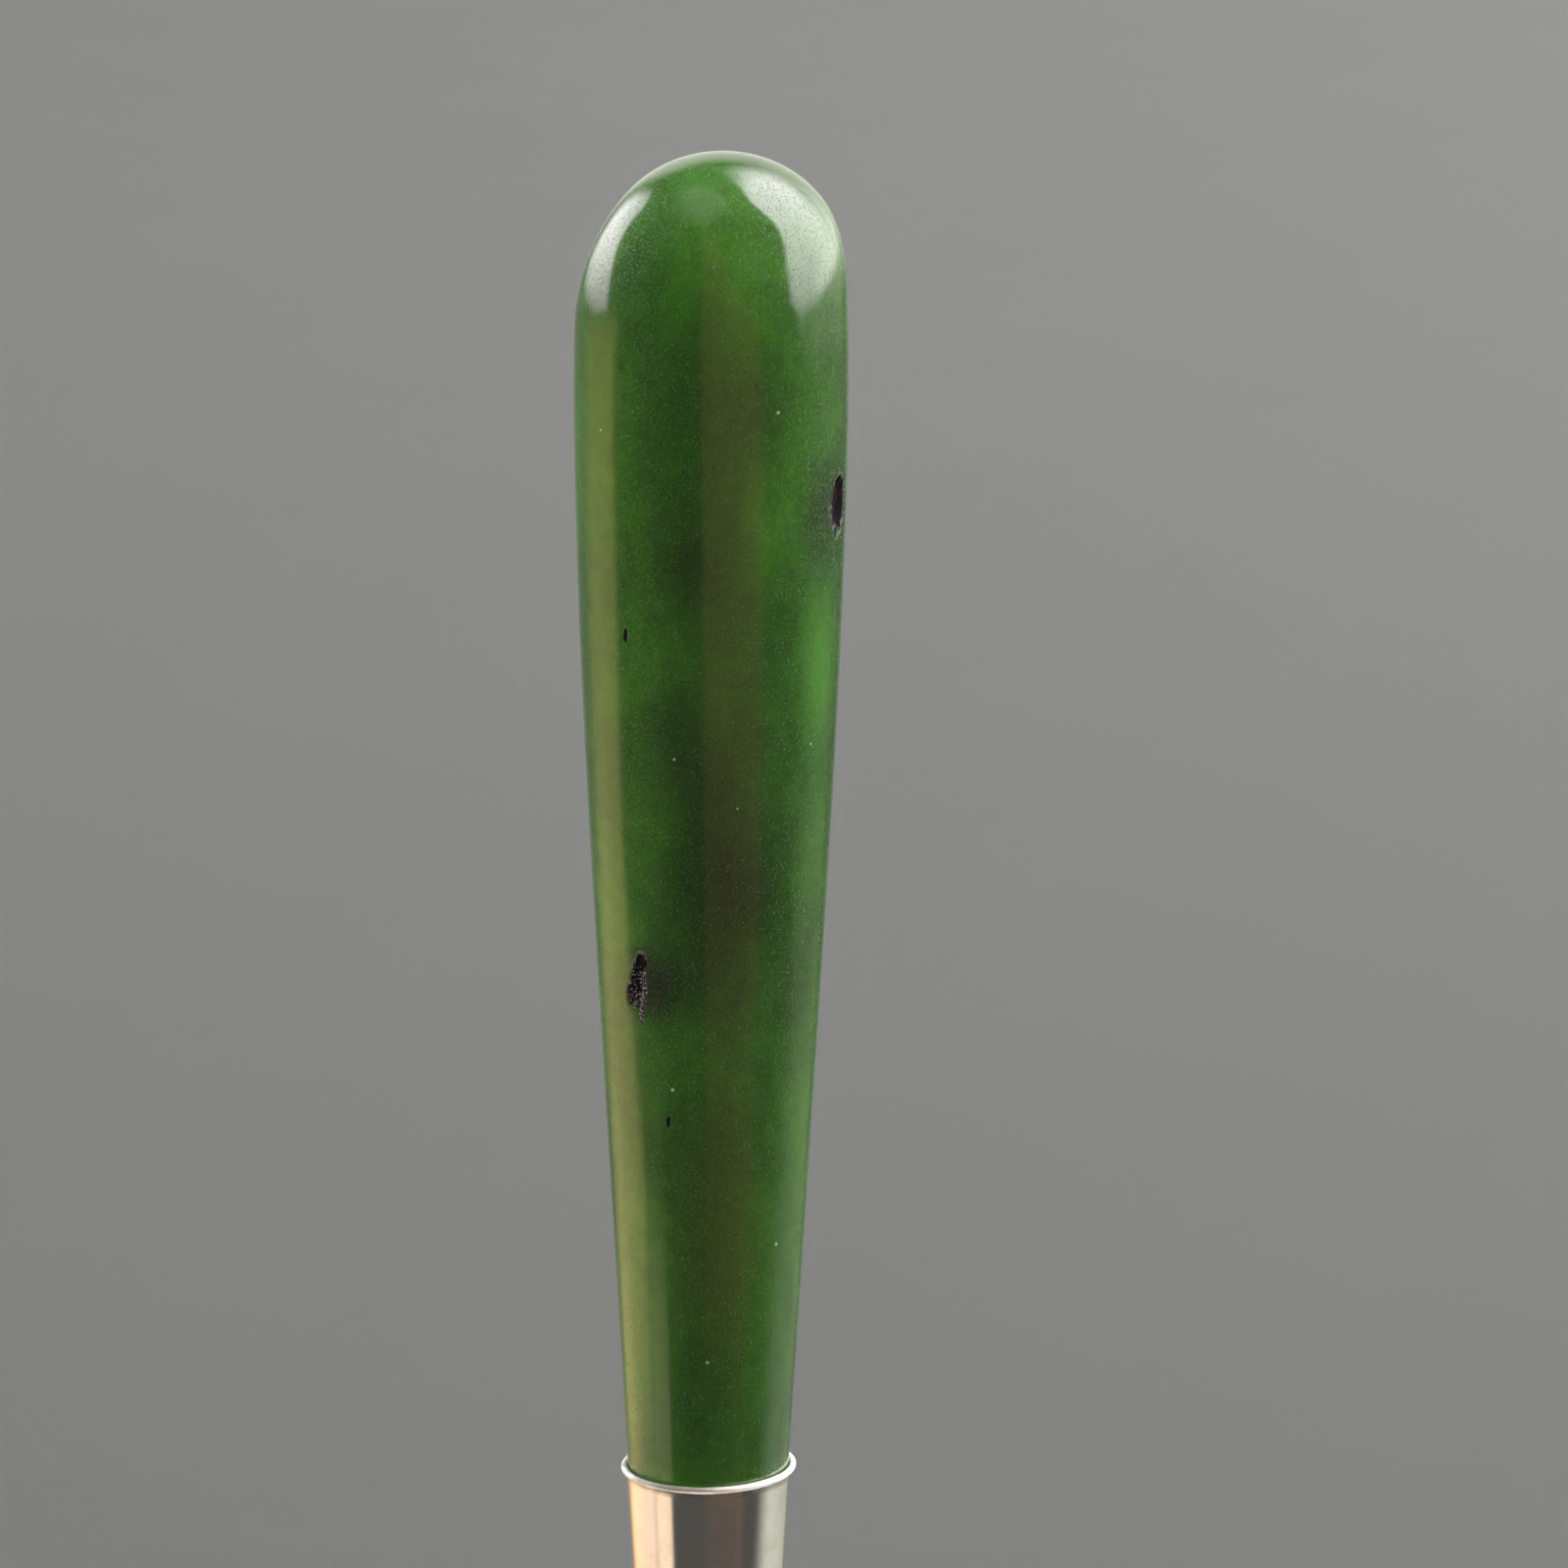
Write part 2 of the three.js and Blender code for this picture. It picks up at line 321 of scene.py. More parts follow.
@dataclass(frozen=True)
class SterlingSilver:
    """Sterling silver, hand polished, with wear scratches and a little tarnish.

    A buff leaves fine lines in one direction, too fine to see one by one, so they are drawn several times
    coarser than they are. Handling leaves a soft, uneven haze, and tarnish stays where a cloth can't reach.
    """

    name: str
    polish: Polish
    bright: str = "dedad3"
    warm: str = "d6d0c6"
    tarnish: str = "6b5a48"
    line_mm: float = 0.05
    line_length_mm: float = 4.0
    line_depth_mm: float = 0.004
    haze_mm: float = 1.1
    roughness: float = 0.11
    crevices: tuple[Point, ...] = ()  # (height in metres, reach in millimetres) of each joint that dulls

    def make(self) -> Material:
        """Builds the material.

        Returns:
            The material.
        """
        material, tree = new_material(self.name)
        place = add(tree, "TexCoord").outputs["Object"]
        across, along = self.line_mm / self.line_length_mm, 1.0
        stretch = (across, across, along) if self.polish is Polish.ROUND else (along, along, across)
        lines = add(tree, "TexNoise", {
            "Vector": add(tree, "Mapping", {"Vector": place, "Scale": stretch}),
            "Scale": per_mm(self.line_mm), "Detail": 3.0, "Roughness": 0.65,
        })
        haze = add(tree, "TexNoise", {
            "Vector": place, "Scale": per_mm(self.haze_mm), "Detail": 4.0, "Roughness": 0.6,
        })
        haze_share = add(tree, "MapRange", {
            "Value": haze, "From Min": 0.35, "From Max": 0.85,
        }, interpolation_type="SMOOTHSTEP")
        colour = add(tree, "Mix", {
            "Factor": haze_share, 6: linear(self.bright), 7: linear(self.warm),
        }, data_type="RGBA").outputs[2]
        dull = self._dullness(tree, place, haze.outputs["Fac"])
        colour = add(
            tree, "Mix", {"Factor": dull, 6: colour, 7: linear(self.tarnish)}, data_type="RGBA"
        ).outputs[2]
        hazed = add(tree, "Math", {
            0: haze_share, 1: self.roughness * 0.9, 2: self.roughness * 0.75,
        }, operation="MULTIPLY_ADD")
        lined = add(tree, "Math", {0: lines, 1: 0.05, 2: hazed}, operation="MULTIPLY_ADD")
        roughness = add(tree, "Math", {0: dull, 1: 0.3, 2: lined}, operation="MULTIPLY_ADD")
        bump = add(tree, "Bump", {"Height": lines, "Strength": 0.25, "Distance": self.line_depth_mm * MM})
        shader = add(tree, "BsdfPrincipled", {
            "Base Color": colour, "Metallic": 1.0, "Roughness": roughness, "Normal": bump,
        })
        add(tree, "OutputMaterial", {"Surface": shader})
        return material

    def _dullness(self, tree: Tree, place: Socket, haze: Socket) -> Node | float:
        """Adds up the tarnish beside each joint.

        Args:
            tree: the material's tree.
            place: where the point is.
            haze: noise that breaks the tarnish up.

        Returns:
            A share from 0, bright, to 1, tarnished.
        """
        dull: Node | float = 0.0
        height = add(tree, "SeparateXYZ", {"Vector": place}).outputs["Z"]
        for joint, reach_mm in self.crevices:
            away = add(tree, "Math", {
                0: add(tree, "Math", {0: height, 1: joint}, operation="SUBTRACT"),
            }, operation="ABSOLUTE")
            near = add(tree, "MapRange", {
                "Value": away, "From Max": reach_mm * MM, "To Min": 1.1, "To Max": 0.0,
            }, interpolation_type="SMOOTHSTEP")
            patchy = add(tree, "Math", {0: near, 1: haze}, operation="MULTIPLY")
            dull = add(tree, "Math", {0: dull, 1: patchy}, operation="MAXIMUM")
        return dull


@dataclass(frozen=True)
class Shellac:
    """Dark brown shellac cement, melted in.

    It was never polished, so it is matt, and grit and small bubbles make it uneven.
    """

    brown: str = "4a2f1c"
    black: str = "22150e"
    grit_mm: float = 0.3
    grit_depth_mm: float = 0.05

    def make(self) -> Material:
        """Builds the material.

        Returns:
            The material.
        """
        material, tree = new_material("shellac_cement")
        place = add(tree, "TexCoord").outputs["Object"]
        grit = add(tree, "TexNoise", {
            "Vector": place, "Scale": per_mm(self.grit_mm), "Detail": 4.0, "Roughness": 0.65,
        })
        colour = add(tree, "Mix", {
            "Factor": grit, 6: linear(self.black), 7: linear(self.brown),
        }, data_type="RGBA").outputs[2]
        shader = add(tree, "BsdfPrincipled", {
            "Base Color": colour, "Roughness": 0.6,
            "Normal": add(tree, "Bump", {"Height": grit, "Distance": self.grit_depth_mm * MM}),
        })
        add(tree, "OutputMaterial", {"Surface": shader})
        return material


@dataclass(frozen=True)
class StudioPaper:
    """Pale grey background paper.

    It is matt and nearly even: only its pulp shows, as a faint change of grey over several centimetres, until
    far from the pin a painted glow brightens it as if lamps lit it there.
    """

    light: str = "c5c7c4"
    dark: str = "c1c3c0"
    pulp_mm: float = 45.0
    lit_from: float = 1.25  # metres from the pin where the glow begins
    lit_to: float = 1.9  # metres from the pin where it is full
    lit: float = 0.26  # how bright the full glow is

    def make(self) -> Material:
        """Builds the material, which glows a little far from the pin as if lamps lit it there.

        Returns:
            The material.
        """
        material, tree = new_material("studio_paper")
        place = add(tree, "TexCoord").outputs["Object"]
        pulp = add(tree, "TexNoise", {"Vector": place, "Scale": per_mm(self.pulp_mm), "Detail": 5.0})
        colour = add(tree, "Mix", {
            "Factor": pulp, 6: linear(self.light), 7: linear(self.dark),
        }, data_type="RGBA").outputs[2]
        # painted light: the paper glows more the further it lies from the pin
        far = add(tree, "VectorMath", {0: place}, operation="LENGTH").outputs["Value"]
        glow = add(tree, "MapRange", {
            "Value": far, "From Min": self.lit_from, "From Max": self.lit_to, "To Min": 0.0,
            "To Max": self.lit,
        }, interpolation_type="SMOOTHSTEP")
        shader = add(tree, "BsdfPrincipled", {
            "Base Color": colour, "Roughness": 0.9, "Emission Color": linear(self.light),
            "Emission Strength": glow,
        })
        add(tree, "OutputMaterial", {"Surface": shader})
        return material


# ----------------------------------------------------------------------------------------- shapes and trees


@dataclass(frozen=True)
class Datum:
    """Where the drawing's heights lie in the frame.

    Attributes:
        mouth: the height of the ferrule's mouth, in metres.
        tip: the height of the stem's tip, in metres.
    """

    mouth: float
    tip: float

    def at(self, height_mm: float) -> float:
        """Returns the frame height, in metres, of a drawing height in millimetres above the mouth."""
        return self.mouth + height_mm * MM

    def point(self, radius_mm: float, turn_deg: float, height_mm: float) -> Vector:
        """Finds a place from its radius, angle and height.

        Args:
            radius_mm: distance from the pin's axis.
            turn_deg: angle round the axis from the front (-Y), positive towards +X.
            height_mm: height above the mouth.

        Returns:
            The place in the frame, in metres.
        """
        turn = math.radians(turn_deg)
        across, back = radius_mm * MM * math.sin(turn), -radius_mm * MM * math.cos(turn)
        return Vector((across, back, self.at(height_mm)))


@dataclass(frozen=True)
class Cloud:
    """A dark or light place inside the stone, or a patch of painted glow, with soft edges.

    Attributes:
        centre: its middle, in metres.
        width_mm: how far it reaches to each side.
        length_mm: how far it reaches up and down.
        strength: how much it changes the colour at its middle, up to 1.
        tone: the sRGB colour that it brings.
    """

    centre: Vector
    width_mm: float
    length_mm: float
    strength: float
    tone: str = "101c08"

    def share(self, tree: Tree, place: Socket) -> Node:
        """Adds the nodes that fade the cloud out with distance.

        Args:
            tree: the material's tree.
            place: where the point is.

        Returns:
            How much of the cloud's tone a point takes.
        """
        away = add(tree, "VectorMath", {0: place, 1: self.centre}, operation="SUBTRACT")
        reach = (1 / (self.width_mm * MM), 1 / (self.width_mm * MM), 1 / (self.length_mm * MM))
        scaled = add(tree, "VectorMath", {0: away, 1: reach}, operation="MULTIPLY")
        distance = add(tree, "VectorMath", {0: scaled}, operation="LENGTH").outputs["Value"]
        return add(tree, "MapRange", {
            "Value": distance, "To Min": self.strength, "To Max": 0.0,
        }, interpolation_type="SMOOTHSTEP")


def softened(corners: list[Point], radius: float, steps: int = 3) -> list[Point]:
    """Rounds the inner corners of an outline, as files and buffs do.

    A point just outside each rounding keeps the shading of the straight parts true.

    Args:
        corners: (radius, height) points in millimetres. The first and last are kept as they are.
        radius: how far from each corner the rounding starts, at most.
        steps: how many straight pieces make each rounding.

    Returns:
        The outline with its corners rounded.
    """
    outline = [corners[0]]
    for before, corner, after in zip(corners, corners[1:], corners[2:]):
        here = Vector(corner)
        back, on = Vector(before) - here, Vector(after) - here
        start = back.normalized() * min(radius, back.length * 0.4)
        end = on.normalized() * min(radius, on.length * 0.4)
        bends = [here + start * (1 - k / steps) ** 2 + end * (k / steps) ** 2 for k in range(steps + 1)]
        for place in (here + start * 1.15, *bends, here + end * 1.15):
            outline.append((place.x, place.y))
    outline.append(corners[-1])
    return outline


def new_tree(name: str, *inputs: str) -> tuple[Tree, bpy.types.bpy_prop_collection]:
    """Makes a geometry tree with a mesh going in and out, and named inputs.

    Args:
        name: the tree's name.
        *inputs: each input's name. It is a number unless SOCKETS says otherwise.

    Returns:
        The tree and the sockets that bring its inputs.
    """
    tree = bpy.data.node_groups.new(name, "GeometryNodeTree")
    for label in ("Mesh", *inputs, "Material"):
        kind = "NodeSocket" + SOCKETS.get(label, "Float")
        tree.interface.new_socket(label, in_out="INPUT", socket_type=kind)
    tree.interface.new_socket("Mesh", in_out="OUTPUT", socket_type="NodeSocketGeometry")
    return tree, tree.nodes.new("NodeGroupInput").outputs


def end_tree(tree: Tree, mesh: Node, material: Socket) -> None:
    """Ends a geometry tree in Realize Instances and Set Material.

    Args:
        tree: the tree.
        mesh: the node whose first output is the finished shape.
        material: the socket that brings the finish.
    """
    real = add(tree, "GeometryNodeRealizeInstances", {0: mesh})
    dressed = add(tree, "GeometryNodeSetMaterial", {0: real, "Material": material})
    tree.links.new(dressed.outputs[0], tree.nodes.new("NodeGroupOutput").inputs[0])


def reach_of(tree: Tree, given: bpy.types.bpy_prop_collection) -> Socket:
    """Adds the nodes that measure how far a point is from the middle of a pit.

    Args:
        tree: the tree.
        given: the sockets that bring the tree's inputs.

    Returns:
        The distance as a share of the pit's half width and half length.
    """
    place = add(tree, "GeometryNodeInputPosition")
    away = add(tree, "VectorMath", {0: place, 1: given["Centre"]}, operation="SUBTRACT")
    half = {"X": given["Half Width"], "Y": given["Half Width"], "Z": given["Half Length"]}
    scaled = add(tree, "VectorMath", {0: away, 1: add(tree, "CombineXYZ", half)}, operation="DIVIDE")
    return add(tree, "VectorMath", {0: scaled}, operation="LENGTH").outputs["Value"]


def turning_tree() -> Tree:
    """Builds the tree that turns an outline round the axis, as a lathe does.

    The outline is a chain of points in the XZ plane. Each becomes a ring. Then the rings near the ferrule's
    mouth tilt, and those near the top of the stone lean.

    Returns:
        The tree.
    """
    tree, given = new_tree(
        "turning", "Sides", "Mouth Height", "Mouth Tilt", "Tilt Reach", "Lean", "Lean Start", "Lean End"
    )
    rings = add(tree, "GeometryNodeAttributeDomainSize", {"Geometry": given["Mesh"]})
    around = add(tree, "FunctionNodeIntegerMath", {0: given["Sides"], 1: 1}, operation="ADD")
    sheet = add(
        tree, "GeometryNodeMeshGrid", {"Vertices X": rings.outputs["Point Count"], "Vertices Y": around}
    )
    index = add(tree, "GeometryNodeInputIndex")
    ring = add(tree, "FunctionNodeIntegerMath", {0: index, 1: around}, operation="DIVIDE_FLOOR")
    step = add(tree, "FunctionNodeIntegerMath", {0: index, 1: around}, operation="MODULO")
    outline_point = add(tree, "GeometryNodeSampleIndex", {
        "Geometry": given["Mesh"], 1: add(tree, "GeometryNodeInputPosition"), "Index": ring,
    }, data_type="FLOAT_VECTOR")
    share = add(tree, "Math", {0: step, 1: given["Sides"]}, operation="DIVIDE")
    angle = add(tree, "Math", {0: share, 1: math.tau}, operation="MULTIPLY")
    turned = add(tree, "VectorRotate", {"Vector": outline_point, "Angle": angle}, rotation_type="Z_AXIS")

    axes = add(tree, "SeparateXYZ", {"Vector": turned})
    away = add(tree, "Math", {0: axes.outputs["Z"], 1: given["Mouth Height"]}, operation="SUBTRACT")
    distance = add(tree, "Math", {0: away}, operation="ABSOLUTE")
    nearness = add(tree, "MapRange", {
        "Value": distance, "From Max": given["Tilt Reach"], "To Min": 1.0, "To Max": 0.0,
    })
    slope = add(tree, "Math", {0: axes.outputs["X"], 1: given["Mouth Tilt"]}, operation="MULTIPLY")
    rise = add(tree, "Math", {0: slope, 1: nearness}, operation="MULTIPLY")
    lean = add(tree, "MapRange", {
        "Value": axes.outputs["Z"], "From Min": given["Lean Start"], "From Max": given["Lean End"],
        "To Min": 0.0, "To Max": given["Lean"],
    }, interpolation_type="SMOOTHSTEP")
    shift = add(tree, "CombineXYZ", {"X": lean, "Z": rise})
    placed = add(tree, "GeometryNodeSetPosition", {0: sheet, "Position": turned, "Offset": shift})
    closed = add(tree, "GeometryNodeMergeByDistance", {0: placed, "Distance": WELD})
    end_tree(tree, closed, given["Material"])
    return tree


def pit_tree() -> Tree:
    """Builds the tree that sinks one ragged pit into the stone and marks it in the "pit" attribute.

    Returns:
        The tree.
    """
    tree, given = new_tree("pit", "Centre", "Half Width", "Half Length", "Depth", "Raggedness", "Grain")
    place = add(tree, "GeometryNodeInputPosition")
    noise_scale = add(tree, "Math", {0: 1.0, 1: given["Grain"]}, operation="DIVIDE")
    noise = add(tree, "TexNoise", {"Vector": place, "Scale": noise_scale, "Detail": 3.0})
    centred = add(tree, "Math", {0: noise, 1: 0.5}, operation="SUBTRACT")
    ragged = add(tree, "Math", {
        0: centred, 1: given["Raggedness"], 2: reach_of(tree, given),
    }, operation="MULTIPLY_ADD")
    share = add(tree, "MapRange", {
        "Value": ragged, "From Min": 0.55, "From Max": 1.0, "To Min": 1.0, "To Max": 0.0,
    }, interpolation_type="SMOOTHSTEP")
    so_far = add(tree, "GeometryNodeInputNamedAttribute", {"Name": "pit"}, data_type="FLOAT")
    deepest = add(tree, "Math", {0: share, 1: so_far.outputs["Attribute"]}, operation="MAXIMUM")
    marked = add(tree, "GeometryNodeStoreNamedAttribute", {
        "Geometry": given["Mesh"], "Name": "pit", "Value": deepest,
    }, data_type="FLOAT", domain="POINT")
    rough_floor = add(tree, "Math", {0: noise, 1: 1.2, 2: 0.4}, operation="MULTIPLY_ADD")
    depth = add(tree, "Math", {0: share, 1: given["Depth"]}, operation="MULTIPLY")
    sink = add(tree, "Math", {0: depth, 1: rough_floor}, operation="MULTIPLY")
    inward = add(tree, "Math", {0: sink, 1: -1.0}, operation="MULTIPLY")
    offset = add(tree, "VectorMath", {
        0: add(tree, "GeometryNodeInputNormal"), "Scale": inward,
    }, operation="SCALE")
    sunk = add(tree, "GeometryNodeSetPosition", {0: marked, "Offset": offset})
    end_tree(tree, sunk, given["Material"])
    return tree


def crystal_tree() -> Tree:
    """Builds the tree that scatters small rough crystals over part of a pit.

    Returns:
        The tree.
    """
    tree, given = new_tree(
        "crystals", "Centre", "Half Width", "Half Length", "Crystal Size", "Density", "Seed"
    )
    inside = add(tree, "FunctionNodeCompare", {0: reach_of(tree, given), 1: 1.0}, operation="LESS_THAN")
    points = add(tree, "GeometryNodeDistributePointsOnFaces", {
        "Mesh": given["Mesh"], "Selection": inside, "Density": given["Density"], "Seed": given["Seed"],
    })
    crystal = add(tree, "GeometryNodeMeshIcoSphere", {"Radius": 0.5, "Subdivisions": 1})
    spin = add(tree, "FunctionNodeRandomValue", {
        1: (math.tau, math.tau, math.tau), "Seed": given["Seed"],
    }, data_type="FLOAT_VECTOR")
    stretch = add(tree, "FunctionNodeRandomValue", {
        0: (0.35, 0.35, 0.5), 1: (1.0, 1.0, 1.6), "Seed": given["Seed"],
    }, data_type="FLOAT_VECTOR")
    size = add(tree, "VectorMath", {0: stretch, "Scale": given["Crystal Size"]}, operation="SCALE")
    scattered = add(tree, "GeometryNodeInstanceOnPoints", {
        "Points": points.outputs["Points"], "Instance": crystal,
        "Rotation": add(tree, "FunctionNodeEulerToRotation", {0: spin}), "Scale": size,
    })
    end_tree(tree, scattered, given["Material"])
    return tree


def apply_tree(obj: Object, tree: Tree, sizes: dict[str, object]) -> None:
    """Puts a geometry tree on an object, with its inputs set, and keeps its result as the object's mesh.

    Args:
        obj: the object whose mesh goes in.
        tree: the tree.
        sizes: a value for each of the tree's inputs, by name.
    """
    modifier = obj.modifiers.new(tree.name, "NODES")
    modifier.node_group = tree
    for item in tree.interface.items_tree:
        if item.in_out == "INPUT" and item.name in sizes:
            modifier[item.identifier] = sizes[item.name]
    bpy.context.view_layer.update()
    shape = obj.evaluated_get(bpy.context.evaluated_depsgraph_get())
    old, obj.data = obj.data, bpy.data.meshes.new_from_object(shape)
    obj.data.name = obj.name
    obj.modifiers.remove(modifier)
    bpy.data.meshes.remove(old)


def finish_mesh(obj: Object, crease_deg: float = 35.0) -> None:
    """Points an object's faces outwards and shades it smooth except at creases.

    Args:
        obj: the object.
        crease_deg: edges that turn by more than this stay sharp.
    """
    shape = bmesh.new()
    shape.from_mesh(obj.data)
    bmesh.ops.recalc_face_normals(shape, faces=shape.faces)
    for face in shape.faces:
        face.smooth = True
    for edge in shape.edges:
        edge.smooth = edge.calc_face_angle(0.0) < math.radians(crease_deg)
    shape.to_mesh(obj.data)
    shape.free()


@dataclass
class Lathe:
    """Turns outlines into pieces that ride on the pin.

    Attributes:
        datum: where the drawing lies in the frame.
        mouth_tilt: how much the ferrule's mouth rises for each unit of +X.
        tilt_reach_mm: heights further than this from the mouth don't tilt.
    """

    datum: Datum
    mouth_tilt: float = 0.02
    tilt_reach_mm: float = 6.0
    tree: Tree = field(default_factory=turning_tree)

    def turn(
        self, name: str, outline: list[Point], material: Material, sides: int = 192, lean_mm: float = 0.0,
        lean_from_mm: float = 0.0, lean_to_mm: float = 1.0,
    ) -> Object:
        """Turns one closed solid.

        Args:
            name: the piece's name.
            outline: (radius, height) points in millimetres, from axis to axis or back to the first.
            material: its finish.
            sides: how many facets go round it.
            lean_mm: how far its top is pushed towards +X.
            lean_from_mm: the height where the lean starts.
            lean_to_mm: the height where the lean is full.

        Returns:
            The piece, in place.
        """
        chain = bpy.data.meshes.new(name)
        points = [(radius * MM, 0.0, self.datum.at(height)) for radius, height in outline]
        chain.from_pydata(points, [(k, k + 1) for k in range(len(points) - 1)], [])
        piece = new_object(name, chain)
        apply_tree(piece, self.tree, {
            "Sides": sides, "Mouth Height": self.datum.mouth, "Mouth Tilt": self.mouth_tilt,
            "Tilt Reach": self.tilt_reach_mm * MM, "Lean": lean_mm * MM,
            "Lean Start": self.datum.at(lean_from_mm), "Lean End": self.datum.at(lean_to_mm),
            "Material": material,
        })
        finish_mesh(piece)
        return piece


def mount(piece: Object, slot: str, *nodes: str) -> Object:
    """Fastens a finished piece to the pin's one body.

    Args:
        piece: the piece.
        slot: the record's material slot that it is finished from. It is not used.
        *nodes: the frame's nodes that it stands for.

    Returns:
        The piece.
    """
    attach(piece, ROOT)
    if nodes:
        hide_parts(*nodes)
    stands_for = ", ".join(nodes) or "nothing"
    log.info("%s: %d faces, stands for %s", piece.name, len(piece.data.polygons), stands_for)
    return piece


# -------------------------------------------------------------------------------------- the pin's assemblies


@dataclass(frozen=True)
class Pit:
    """A place where the grinding opened a nest of dark crystals.

    Attributes:
        height_mm: its middle's height above the mouth.
        turn_deg: its angle round the axis from the front, positive towards +X.
        half_width_mm: half its width.
        half_length_mm: half its height.
        depth_mm: how deep it is.
        crystals: how many pale crystals a square millimetre of it has.
    """

    height_mm: float
    turn_deg: float
    half_width_mm: float
    half_length_mm: float
    depth_mm: float
    crystals: float = 0.0


@dataclass
class NephriteHead:
    """The stone: a long taper that rounds off into its widest place, a leaning dome, and a blind bore.

    The flank and the dome each follow a power law. The lean's start and end are shares of the dome's height.
    """

    lathe: Lathe
    mouth_radius: float = 3.55
    widest_radius: float = 5.94
    widest_height: float = 48.9
    top_height: float = 59.2
    flank_power: float = 5.25
    dome_power: float = 3.45
    lean: float = 0.48
    lean_start: float = 0.28
    lean_end: float = 0.87
    shoulder_height: float = 0.05
    seat_radius: float = 3.33
    seat_foot_radius: float = 2.88
    seat_length: float = 7.0
    bore_radius: float = 1.5
    bore_top: float = 14.0
    sides: int = 256
    flank_rings: int = 230
    dome_rings: int = 70
    crystal_mm: float = 0.07
    raggedness: float = 1.1  # how far a pit's edge wanders, as a share of its size
    edge_grain_mm: float = 0.3
    pits: tuple[Pit, ...] = (
        Pit(23.2, -39.5, 0.34, 0.95, 0.15, crystals=45.0),
        Pit(22.7, -44.0, 0.22, 0.50, 0.07, crystals=60.0),
        Pit(23.1, -35.5, 0.17, 0.80, 0.05, crystals=160.0),
        Pit(22.5, -38.5, 0.24, 0.36, 0.06, crystals=130.0),
        Pit(21.9, -36.8, 0.10, 0.40, 0.03, crystals=300.0),
        Pit(24.3, -36.0, 0.28, 0.42, 0.05),
        Pit(44.3, 70.0, 0.80, 1.40, 0.30),
        Pit(38.9, -39.5, 0.14, 0.26, 0.05),
        Pit(17.2, -23.0, 0.07, 0.28, 0.03),
    )

    def radius(self, height: float) -> float:
        """Finds how thick the stone is.

        Args:
            height: a height above the mouth.

        Returns:
            The stone's radius there.
        """
        if height <= self.widest_height:
            share = height / self.widest_height
            n = self.flank_power
            rise = (n * share - share**n) / (n - 1)
            return self.mouth_radius + (self.widest_radius - self.mouth_radius) * rise
        share = (height - self.widest_height) / (self.top_height - self.widest_height)
        return self.widest_radius * math.sqrt(max(0.0, 1 - share**self.dome_power))

    def outline(self) -> list[Point]:
        """Draws the stone.

        Returns:
            Its outline from the bore's top, round the seat and up the outside to the top.
        """
        dome = self.top_height - self.widest_height
        inside = [
            (0.0, self.bore_top), (self.bore_radius, self.bore_top), (self.bore_radius, -self.seat_length),
            (self.seat_foot_radius, -self.seat_length), (self.seat_radius, self.shoulder_height),
        ]
        low, rise = self.shoulder_height, self.widest_height - self.shoulder_height
        flank = [low + rise * k / self.flank_rings for k in range(self.flank_rings)]
        dome_heights = [
            self.widest_height + dome * math.sin(math.pi / 2 * k / self.dome_rings)
            for k in range(self.dome_rings)
        ]
        outside = [(self.radius(height), height) for height in flank + dome_heights]
        return inside + outside + [(0.0, self.top_height)]

    def place(self, pit: Pit) -> Vector:
        """Returns the middle of a pit on the stone's surface, in metres."""
        return self.lathe.datum.point(self.radius(pit.height_mm), pit.turn_deg, pit.height_mm)

    def bounds(self, pit: Pit) -> dict[str, object]:
        """Returns a pit's middle and reach in metres, as the geometry trees take them."""
        width, length = pit.half_width_mm * MM, pit.half_length_mm * MM
        return {"Centre": self.place(pit), "Half Width": width, "Half Length": length}

    def clouds(self) -> list[Cloud]:
        """Lists the soft dark and light places inside the stone, and the painted glow on its right side and
        the top of its dome.

        Returns:
            The places.
        """
        at = self.lathe.datum.point
        nest, rusty, upper, side = (self.place(self.pits[k]) for k in (0, 1, 5, 6))
        halo = nest + at(0.7, 40.0, 0.0) - at(0.0, 0.0, 0.0)
        return [
            Cloud(at(4.4, 5.0, 12.0), 3.4, 9.5, 0.75, OLIVE_JADE),
            Cloud(halo, 1.9, 2.5, 0.95),
            Cloud(at(5.0, -24.0, 23.5), 2.6, 3.4, 0.7),
            Cloud(at(5.4, -16.0, 35.0), 2.4, 4.4, 0.55),
            Cloud(at(5.6, -11.0, 42.5), 2.4, 4.0, 0.55),
            Cloud(at(5.6, 22.0, 49.0), 2.6, 5.5, 0.45),
            Cloud(at(5.0, 8.0, 27.5), 4.2, 9.5, 0.8),
            Cloud(at(5.2, 2.0, 33.5), 3.6, 6.5, 0.5),
            Cloud(side, 1.7, 2.0, 0.95),
            # painted glow on the right side, which faces the right-hand window and lamp
            Cloud(at(5.6, 58.0, 37.0), 2.2, 5.5, 0.5, PAINTED_GLOW_JADE),
            Cloud(at(5.3, 62.0, 30.0), 1.8, 4.5, 0.2, PAINTED_GLOW_JADE),
            Cloud(at(5.0, 48.0, 22.0), 2.6, 5.0, 0.4),
            Cloud(at(5.6, 56.0, 44.5), 2.6, 3.6, 0.7),
            # painted glow on the top of the dome, which faces the light from overhead
            Cloud(at(3.0, -10.0, 59.0), 4.0, 2.6, 0.3, PAINTED_GLOW_JADE),
            Cloud(upper, 0.75, 0.95, 0.95),
            Cloud(rusty, 0.45, 0.7, 0.9, IRON_RED),
        ]

